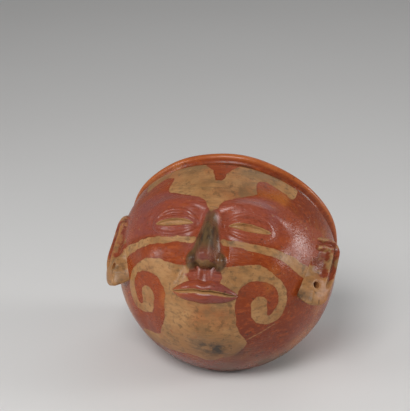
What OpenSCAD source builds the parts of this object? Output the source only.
// A head-shaped pottery vessel lying tilted back on its flattened nape.
// The wall is pressed in a front and a rear mould, the halves are luted together with a coil,
// and the rim, the foot disc, the ears and the raised features are added by hand.
// Lengths are millimetres. The vessel stands on z = 0 and the face looks towards -Y and upwards.

/* [Head] */
// Outside radius of the round head
head_r = 79; // [72:1:88]
// Thickness of the pressed wall
wall = 5.5; // [4.5:0.5:7]
// Backward lean of the face from upright, in degrees
face_lean = 43.5; // [38:0.5:48]
// Distance of the mould seam behind the middle of the head
seam_y = 8; // [4:1:12]

/* [Mouth of the vessel] */
// Backward tilt of the mouth's axis from the face's own upright, in degrees
mouth_tilt = 25; // [20:1:28]
// Height above the head's middle where the rim is joined on
joint_h = 17; // [14:1:20]
// Height of the added rim
rim_h = 15; // [13:0.5:18]
// Outside radius of the rolled lip
lip_r = 78; // [76:0.5:80]
// Radius at the bottom of the groove below the lip
groove_r = 74; // [73:0.5:75]

/* [Foot] */
// Radius of the flat that the vessel rests on
foot_r = 36; // [32:1:38]
// Radius of the disc that closes the foot
disc_r = 30; // [27:1:31]
// Thickness of that disc
disc_t = 6; // [5:0.5:7]

/* [Face] */
// Width of one eye, which is a fifth of the face's width
eye_w = 26; // [22:1:28]
// Length of each third of the face: hairline to brow, brow to nose base, nose base to chin
third = 39; // [36:1:41]
// How far the tip of the nose stands out from the face
nose_out = 17; // [12:1:20]
// Thickness of the lips where they are fullest
lip_full = 6.5; // [5:0.5:8]

/* [Ears] */
// Height of an ear above the hole in its lobe
ear_h = 39; // [34:1:40]
// Length of the lobe below that hole
lobe_h = 13; // [11:1:15]
// Thickness of an ear's plate at its rear edge
ear_t = 6; // [5:0.5:7]
// Radius of the hole pierced through the lobe
pierce_r = 2.4; // [1.5:0.1:3]

/* [Hidden] */
$fn = 96;

inner_r = head_r - wall;
rest_h = sqrt(pow(head_r, 2) - pow(foot_r, 2)); // height of the head's middle above the foot
far = 4 * head_r;

// The face in thirds, measured from the front of the rim's joint down
hair_z = joint_h * cos(mouth_tilt) + sqrt(pow(head_r, 2) - pow(joint_h, 2)) * sin(mouth_tilt);
brow_z = hair_z - third;
nose_z = brow_z - third;
chin_z = nose_z - third;
eye_z = brow_z - 0.24 * third;
eye_x = eye_w;
mouth_z = nose_z - third / 3;
mouth_w = 1.7 * eye_w;

// Colours of the slips, the bare clay and the patina
red_slip = "#a84b27";
cream_slip = "#c2a06c";
rose_slip = "#a5564a";
bare_clay = "#9a7048";
patina = "#6b4a2c";

// The frame of the head: its middle at the origin, the face towards -Y, the crown towards +Z
module in_head() {
    translate([0, 0, rest_h]) rotate([-face_lean, 0, 0]) children();
}

// The same middle, with +Z out through the mouth of the vessel
module in_mouth() {
    in_head() rotate([-mouth_tilt, 0, 0]) children();
}

// ---- Surface of the face ----
function limit(t) = max(0, min(1, t));
function smooth(t) = let (c = limit(t)) c * c * (3 - 2 * c);
function bump(x, z, cx, cz, sx, sz) = exp(-pow((x - cx) / sx, 2) - pow((z - cz) / sz, 2));
function above_joint(p) = p[1] * sin(mouth_tilt) + p[2] * cos(mouth_tilt) - joint_h;

// How far the modelled face stands out from the round of the head, at a point of that round
function relief(p) =
    let (x = abs(p[0]), z = p[2], brow = brow_z + 1.5 + 3.5 * sin(180 * limit((x - 5) / 42)))
    smooth((2 - p[1]) / 26) * smooth(-above_joint(p) / 12) * smooth((58 - x) / 12) * (
        3.4 * exp(-pow((z - brow) / 5.5, 2)) * smooth((x - 2) / 12) * smooth((54 - x) / 22)
        + 1.8 * bump(x, z, 0, brow_z + 1, 9, 8)
        - 5.6 * bump(x, z, eye_x, eye_z - 0.5, 15, 8)
        - 2.0 * bump(x, z, 10, eye_z, 5, 8)
        + 5.0 * pow(limit(1 - pow((x - eye_x) / 19.5, 2) - pow((z - eye_z - 0.6) / 13, 2)), 1.35)
        + 2.8 * bump(x, z, 1.5 * eye_x, nose_z + 9, 15, 11)
        + 3.6 * bump(x, z, 0, mouth_z + 1, 22, 13)
        - 0.9 * bump(x, z, 0, mouth_z + 9, 2.8, 4.5)
        - 1.5 * bump(x, z, 0.5 * mouth_w + 4, mouth_z, 5, 6)
        - 3.0 * bump(x, z, 0, mouth_z - 14, 16, 5)
        + 5.5 * bump(x, z, 0, chin_z + 8, 17, 10)
        - 2.0 * bump(x, z, 46, chin_z + 14, 14, 16)
    );

// A direction from the head's middle: turn around the face's front, then angle away from it
function aim(turn, away) = [sin(away) * cos(turn), -cos(away), sin(away) * sin(turn)];

// Where the front half ends, as an angle from the front: at the rim's joint or at the mould seam
function edge_angle(turn, r) =
    let (a = sin(turn) * cos(mouth_tilt), b = sin(mouth_tilt), seam = acos(-seam_y / r))
    sin(turn) < 0.08 ? seam : min(seam, atan2(b, a) + asin(joint_h / (r * norm([a, b]))));

// The turns of a ring, with one at each corner where the seam meets the rim's joint
function corner_turn(r) =
    let (z = (joint_h - seam_y * sin(mouth_tilt)) / cos(mouth_tilt))
    atan2(z, sqrt(r * r - seam_y * seam_y - z * z));
upper_steps = 40;
lower_steps = 44;
ring_size = upper_steps + lower_steps;
function ring_turn(j, r) =
    let (c = corner_turn(r))
    j < upper_steps ? c + (180 - 2 * c) * j / upper_steps
                    : 180 - c + (180 + 2 * c) * (j - upper_steps) / lower_steps;

// One ring at a share of the way from the front to the edge, on the round of radius r
function ring(share, r, full) =
    [for (j = [0 : ring_size - 1])
        let (turn = ring_turn(j, r), n = aim(turn, share * edge_angle(turn, r)), p = n * head_r)
        n * (r + (share < 1 ? full * relief(p) : 0))];

outer_rings = 26;
inner_rings = 9;
function shares(n) = [for (i = [1 : n]) pow(i / n, 0.92)];
front_point = [0, -head_r - relief([0, -head_r, 0]), 0];
back_point = [0, -inner_r - relief([0, -head_r, 0]), 0];

// Joins a row of rings, with a point at each end, into one closed skin
module skin(first, rings, last) {
    count = len(rings);
    points = concat([first], [for (r = rings) each r], [last]);
    function at(i, j) = 1 + i * ring_size + j % ring_size;
    faces = concat(
        [for (j = [0 : ring_size - 1]) [0, at(0, j + 1), at(0, j)]],
        [for (i = [0 : count - 2], j = [0 : ring_size - 1]) each
            [[at(i, j), at(i, j + 1), at(i + 1, j + 1)], [at(i, j), at(i + 1, j + 1), at(i + 1, j)]]],
        [for (j = [0 : ring_size - 1]) [len(points) - 1, at(count - 1, j), at(count - 1, j + 1)]]);
    polyhedron(points, faces, convexity = 6);
}

outside = [for (s = shares(outer_rings)) ring(s, head_r, 1)];
inside = [for (s = shares(inner_rings)) ring(s, inner_r, 0.85)];

module face_shell() {
    color(red_slip) in_head()
        skin(front_point, concat(outside, [for (i = [inner_rings - 1 : -1 : 0]) inside[i]]), back_point);
}

// Solid behind the face's outer surface, which seats what is added to the face
module face_core() {
    skin(front_point, outside, [0, seam_y / 2, 0]);
}

// ---- Rear half, rim and foot ----
module above_rim_joint() {
    rotate([-mouth_tilt, 0, 0]) translate([0, 0, joint_h + far / 2]) cube(far, center = true);
}

module back_shell() {
    color(red_slip) difference() {
        in_head() difference() {
            sphere(head_r);
            sphere(inner_r);
            above_rim_joint();
            translate([0, seam_y - far / 2, 0]) cube(far, center = true);
        }
        translate([0, 0, -far / 2]) cube(far, center = true);
        translate([0, 0, -1]) cylinder(r = disc_r, h = disc_t + wall);
    }
}

function arc(cx, cy, r, from, to, steps) =
    [for (i = [0 : steps]) let (a = from + (to - from) * i / steps) [cx + r * cos(a), cy + r * sin(a)]];

// The rim's section: a hollow groove outside, a rolled lip, and a slope inside down to the wall
lip_round = 2.6;
groove_round = 4.4;
outer_join = sqrt(pow(head_r, 2) - pow(joint_h, 2));
inner_join = sqrt(pow(inner_r, 2) - pow(joint_h, 2));
module rim_lip() {
    top = joint_h + rim_h;
    color(red_slip) in_mouth() rotate_extrude()
        polygon(concat(
            [[inner_join, joint_h], [outer_join, joint_h]],
            arc(groove_r + groove_round, joint_h + 6.2, groove_round, 228, 138, 10),
            arc(lip_r - lip_round, top - lip_round, lip_round, -35, 115, 14),
            arc(lip_r - 5, top - lip_round - 0.6, lip_round, 120, 180, 6),
            [[inner_join, joint_h + 6]]));
}

// The coil pressed over the rim's joint, inside: a half round against the wall and the rim
rim_coil_r = 4;
module rim_coil() {
    low = joint_h - rim_coil_r;
    color(bare_clay) in_mouth() rotate_extrude()
        polygon(concat(
            arc(inner_join, joint_h, rim_coil_r, 90, 270, 14),
            [for (i = [0 : 5]) let (z = low + rim_coil_r * i / 5) [sqrt(pow(inner_r, 2) - z * z), z]]));
}

module base_disc() {
    color(bare_clay) cylinder(r = disc_r, h = disc_t);
}

// The rounded coil that closes the corner between the foot disc and the wall, inside
coil_r = 4.5;
module base_coil() {
    color(bare_clay) difference() {
        intersection() {
            rotate_extrude() translate([disc_r - 1, disc_t - 1]) circle(coil_r);
            in_head() sphere(inner_r);
        }
        translate([0, 0, -1]) cylinder(r = disc_r, h = disc_t + 1);
    }
}

// The coil pressed over the seam of the two halves, inside
module seam_coil() {
    color(bare_clay) difference() {
        in_head() difference() {
            intersection() {
                translate([0, seam_y, 0]) rotate([90, 0, 0]) rotate_extrude()
                    translate([sqrt(pow(inner_r, 2) - pow(seam_y, 2)), 0]) circle(coil_r);
                sphere(inner_r);
            }
            above_rim_joint();
        }
        in_mouth() translate([0, 0, joint_h]) rotate_extrude() translate([inner_join, 0]) circle(rim_coil_r);
    }
}

// ---- Added features of the face ----
// A point over the face at x and z, sunk below its surface by depth
function on_face(x, z, depth) =
    let (y = -sqrt(pow(head_r, 2) - x * x - z * z), n = [x, y, z] / head_r)
    n * (head_r + relief([x, y, z]) - depth);

// A roll of clay laid over the face along spots, each [x, z, half width, half height, depth]
module roll(spots) {
    for (i = [0 : len(spots) - 2])
        hull() for (s = [spots[i], spots[i + 1]])
            translate(on_face(s[0], s[1], s[4])) scale([1, s[3] / s[2], 1]) sphere(s[2], $fn = 16);
}

// A sheet laid on the face: rows of points, each as far across, and one point behind them all
module sheet(rows, behind) {
    n = len(rows[0]);
    m = len(rows);
    function at(i, j) = i * n + j;
    rim = concat([for (j = [0 : n - 2]) at(0, j)], [for (i = [0 : m - 2]) at(i, n - 1)],
        [for (j = [n - 1 : -1 : 1]) at(m - 1, j)], [for (i = [m - 1 : -1 : 1]) at(i, 0)]);
    polyhedron(
        concat([for (r = rows) each r], [behind]),
        concat(
            [for (i = [0 : m - 2], j = [0 : n - 2]) each
                [[at(i, j), at(i + 1, j + 1), at(i, j + 1)], [at(i, j), at(i + 1, j), at(i + 1, j + 1)]]],
            [for (k = [0 : len(rim) - 1]) [rim[k], rim[(k + 1) % len(rim)], m * n]]),
        convexity = 8);
}

// The nose: a ridge from between the brows to the tip, rounded under, with a wing at each side
root_z = brow_z + 4;
tip_z = nose_z + 6.5;
under_z = nose_z - 0.5;
wing_x = 8.6;
wing_out = 7.6;
blend = 1.1;
function nose_ridge(t) = 1.3 * smooth(t / 0.25) + (nose_out - 2.3) * pow(t, 1.3);
function nose_body(x, z) =
    let (t = limit((root_z - z) / (root_z - tip_z)), under = limit((tip_z - z) / (tip_z - under_z)),
        side = abs(x) / (3.4 + 2.2 * smooth(1.1 * t) + 0.7 * exp(-pow((z - tip_z) / 5, 2))))
    nose_ridge(t) * pow(1 - pow(under, 2.4), 0.6)
        * (0.74 * exp(-pow(side, 2.7)) + 0.26 * exp(-pow(side / 1.7, 2)));
function nose_wing(x, z) =
    wing_out * exp(-pow(pow((abs(x) - wing_x) / 4, 2) + pow((z - nose_z - 4.2) / 4.9, 2), 1.35));
function nose_height(x, z) =
    let (b = nose_body(x, z), w = nose_wing(x, z))
    ln(exp(b * blend) + exp(w * blend)) / blend - ln(2) / blend * (1 - smooth(max(b, w) / 1.5));

// Closer rows where the nose turns under
function crowd(t) = t < 0.14 ? t / 2 : t < 0.5 ? 0.07 + (t - 0.14) * 0.57 : 0.275 + (t - 0.5) * 1.45;
nose_rows = 34;
nose_across = 26;
function nose_grid() =
    [for (i = [0 : nose_rows]) let (z = -34 + 51 * crowd(i / nose_rows))
        [for (j = [0 : nose_across]) let (x = 16 * (2 * j / nose_across - 1),
            edge = smooth((16 - abs(x)) / 2) * smooth(min(z + 34, 17 - z) / 2), h = nose_height(x, z) * edge)
            on_face(x, z + 0.16 * h, 0.4 * (1 - smooth(h / 0.5)) + 0.8 * (1 - edge) - h)]];

// A nostril, pushed in from below with a rounded stick
nostril = [[-4.5, -3, 1.9], [-1.8, -4.4, 1.9], [0.2, -5.4, 1.8], [1.4, -6.2, 1.5], [2.2, -6.8, 1.1]];
module nostril_form(side) {
    for (i = [0 : 3]) hull() for (s = [nostril[i], nostril[i + 1]])
        translate(on_face(side * 4.8, nose_z + s[0], s[1])) sphere(s[2], $fn = 14);
}

module nose() {
    color(patina) in_head() difference() {
        sheet(nose_grid(), [0, -60, -10]);
        face_core();
        nostril_form(-1);
        nostril_form(1);
    }
}

// The line of a closed eye: inner corner, fullest at the middle, outer corner a little lower
eye_steps = 8;
function eye_line(t, lift) = [eye_x + (t - 0.5) * eye_w, eye_z + lift * sin(180 * t) - 1.2 * t];
function taper(t) = pow(sin(8 + 164 * t), 0.6);

module eye_form() {
    roll([for (i = [0 : eye_steps]) let (t = i / eye_steps, p = eye_line(t, 0))
        [p[0], p[1], 2.6 * taper(t), 2.6 * taper(t), 1.5]]);
}

module lid_form(lift, thick) {
    roll([for (i = [0 : eye_steps]) let (t = i / eye_steps, p = eye_line(t, lift))
        [p[0], p[1] + sign(lift) * 1.2, thick * taper(t), thick * taper(t), 0.5]]);
}

module placed(side) {
    in_head() mirror([side < 0 ? 1 : 0, 0, 0]) children();
}

module eye(side) {
    color(cream_slip) placed(side) difference() {
        eye_form();
        face_core();
    }
}

module upper_lid(side) {
    color(rose_slip) placed(side) difference() {
        lid_form(2.6, 2.1);
        eye_form();
        face_core();
    }
}

module lower_lid(side) {
    color(rose_slip) placed(side) difference() {
        lid_form(-2.0, 1.8);
        eye_form();
        face_core();
    }
}

lip_steps = 12;
// One lip: its line at a share t across the mouth, bowed to the middle, and dipped there if dip is set
module lip_form(rise, thick, dip) {
    roll([for (i = [0 : lip_steps]) let (t = i / lip_steps, full = thick * taper(t) / 2)
        [(t - 0.5) * mouth_w, mouth_z + rise * sin(180 * t) - dip * bump(t, 0, 0.5, 0, 0.1, 1),
            full, full, 0.4]]);
}

module upper_lip() {
    color(rose_slip) in_head() difference() {
        lip_form(3, lip_full, 0.8);
        face_core();
    }
}

module lower_lip() {
    color(rose_slip) in_head() difference() {
        lip_form(-3.4, lip_full + 0.6, 0);
        lip_form(3, lip_full, 0.8);
        face_core();
    }
}

// ---- Ears ----
// Each ear's plate: the degrees it faces outwards from the front, and its reach behind and above its hole.
// The hole's mouth is its origin. They were put on by hand, so they differ
ear_hole = [71, -43, -25];
ear_lean = 3;
ear_press = 3;
left_ear = [42, 20.5, ear_h];
right_ear = [49, 16.5, ear_h + 4];

// The ear's outline, rear edge towards +X and cheek towards -X: round spots with a line drawn round them
function ear_spots(form) =
    [[form[1] - 10, form[2] - 10, 10], [2.5, 10.5 - lobe_h, 10.5], [-2, 4.5 - lobe_h, 5.5],
        [3.5, form[2] - 9, 7.5], [1, 10, 8]];
ear_middle = [4, 12];
function support(a, form) = max([for (c = ear_spots(form)) c[0] * cos(a) + c[1] * sin(a) + c[2]]);
function supports(form) = [for (a = [0 : 5 : 355]) [cos(a), sin(a), support(a, form)]];
function behind_edge(line, x, y) = min([for (s = line) if (s[0] > -0.3) s[2] - x * s[0] - y * s[1]]);
function outline_reach(line, a) =
    min([for (s = line) let (f = s[0] * cos(a) + s[1] * sin(a))
        f > 0.05 ? (s[2] - ear_middle[0] * s[0] - ear_middle[1] * s[1]) / f : 1000]);

// The front of the ear: outer fold over the top and down the back, a groove, the inner fold and the hollow
function ear_relief(x, y, e) =
    let (outer = smooth((y + 1) / 7) * smooth((x + 3) / 5),
        inner = smooth((y - 4.5) / 5) * smooth((x + 5) / 4))
    0.9 * exp(-pow((e - 2) / 1.35, 2)) * outer
    - 1.7 * exp(-pow((e - 4.6) / 1.25, 2)) * outer
    + 0.5 * exp(-pow((e - 7.3) / 1.3, 2)) * smooth((y - 2) / 6) * smooth((x + 1) / 5)
    - 2.3 * smooth((e - 8.4) / 2.4) * inner;

function turned(p, a) =
    let (x = p[0] * cos(a) + p[2] * sin(a), y = p[0] * sin(a) - p[2] * cos(a), z = p[1], b = -ear_lean)
    ear_hole + [x, y * cos(b) - z * sin(b), y * sin(b) + z * cos(b)];

// The front edge is smeared out thin on the cheek, and the lobe is left flat round its hole
function smeared(p, x, y, z) =
    let (r = norm(p), least = head_r + 0.5 * (1 + z / ear_t),
        worked = smooth((-0.8 - x) / 6) * smooth((norm([x, y]) - 3.4) / 3))
    p / r * max(least, r + (least - r) * worked);

function ear_point(turn, line, share, a, front) =
    let (d = outline_reach(line, a) * share, x = ear_middle[0] + d * cos(a), y = ear_middle[1] + d * sin(a),
        round_edge = sqrt(1 - pow(share, 6)), flat = smooth((norm([x, y]) - 3.2) / 1.5),
        z = front ? ear_t / 2 * (round_edge - 1)
                + flat * smooth((1 - share) / 0.07) * ear_relief(x, y, behind_edge(line, x, y))
            : -ear_t / 2 * (round_edge + 1))
    smeared(turned([x, y, z - ear_press * smooth((y - 6) / 30)], turn), x, y, z);

front_shares = [0.2, 0.38, 0.48, 0.56, 0.63, 0.70, 0.76, 0.82, 0.88, 0.93, 0.97];
back_shares = [1, 0.95, 0.75, 0.4];
ear_around = 43;
function ear_ring(turn, line, share, front) =
    [for (j = [0 : ear_around - 1]) ear_point(turn, line, share, 360 * j / ear_around, front)];

module ear_form(form) {
    turn = form[0];
    line = supports(form);
    count = len(front_shares) + len(back_shares);
    function at(i, j) = 1 + i * ear_around + j % ear_around;
    polyhedron(
        concat(
            [ear_point(turn, line, 0, 0, true)],
            [for (s = front_shares) each ear_ring(turn, line, s, true)],
            [for (s = back_shares) each ear_ring(turn, line, s, false)],
            [ear_point(turn, line, 0, 0, false)]),
        concat(
            [for (j = [0 : ear_around - 1]) [0, at(0, j + 1), at(0, j)]],
            [for (i = [0 : count - 2], j = [0 : ear_around - 1]) each
                [[at(i, j), at(i, j + 1), at(i + 1, j + 1)], [at(i, j), at(i + 1, j + 1), at(i + 1, j)]]],
            [for (j = [0 : ear_around - 1])
                [count * ear_around + 1, at(count - 1, j), at(count - 1, j + 1)]]),
        convexity = 6);
}

module ear(side) {
    form = side > 0 ? left_ear : right_ear;
    color(cream_slip) placed(side) difference() {
        ear_form(form);
        translate(ear_hole) rotate([-ear_lean, 0, 0]) rotate([90, 0, form[0]])
            translate([0, 0, -ear_t - 1]) cylinder(r = pierce_r, h = ear_t + 2);
    }
}

face_shell();
back_shell();
rim_lip();
rim_coil();
base_disc();
base_coil();
seam_coil();
nose();
eye(1);  // left_eye
eye(-1);  // right_eye
upper_lid(1);  // left_upper_lid
upper_lid(-1);  // right_upper_lid
lower_lid(1);  // left_lower_lid
lower_lid(-1);  // right_lower_lid
upper_lip();
lower_lip();
ear(1);  // left_ear
ear(-1);  // right_ear
